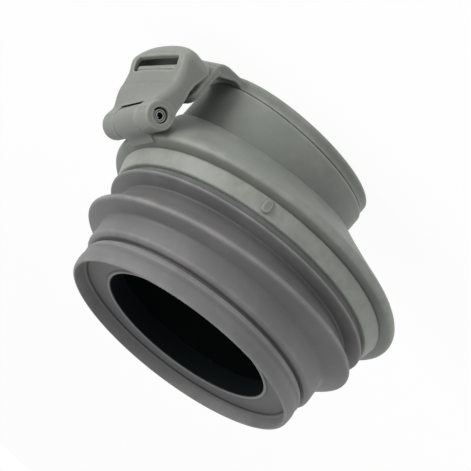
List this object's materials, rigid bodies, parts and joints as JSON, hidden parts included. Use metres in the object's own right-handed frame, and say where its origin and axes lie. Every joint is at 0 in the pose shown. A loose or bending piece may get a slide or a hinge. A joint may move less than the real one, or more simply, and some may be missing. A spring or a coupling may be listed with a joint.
{
  "type": "sewer hose end adapter",
  "caption": "Sewer hose end adapter with a stepped rubber pipe seal, a bent offset body and a hinged clamp ring with latch.",
  "frame": {"origin": "centre of the clamp ring's opening, on the ring's open face, which the part stands on", "axes": "Z is the hose collar's axis, +Z towards the pipe seal; +X points at the latch; the inlet axis leans 10 degrees towards -Y"},
  "size_m": [0.1442, 0.1258, 0.0988],
  "materials": {
    "seal_rubber": "satin",
    "body_plastic": "satin",
    "inner_plastic": "matte",
    "gasket_rubber": "matte",
    "pin_steel": "satin"
  },
  "bodies": {
    "adapter": {"adapter_body": "body_plastic", "seal_boot": "seal_rubber", "seal_retainer": "inner_plastic", "coupler_gasket": "gasket_rubber", "latch_pin": "pin_steel", "ring_hinge_pin": "pin_steel"},
    "ring": {"clamp_ring": "body_plastic"},
    "latch": {"latch_lever": "body_plastic"}
  },
  "joints": [
    {"name": "latch_swing", "type": "hinge", "parent": "adapter", "child": "latch", "pos_m": [0.054, -0.00712, 0.04038], "axis": [0, -0.9848, -0.1736], "range_deg": [0, 130]},
    {"name": "ring_open", "type": "hinge", "parent": "adapter", "child": "ring", "pos_m": [-0.03759, 0.0217, 0.011], "axis": [0.5, 0.866, 0], "range_deg": [0, 39]}
  ],
  "couplings": [
    {"joint": "ring_open", "follows": "latch_swing", "ratio": 0.3}
  ]
}
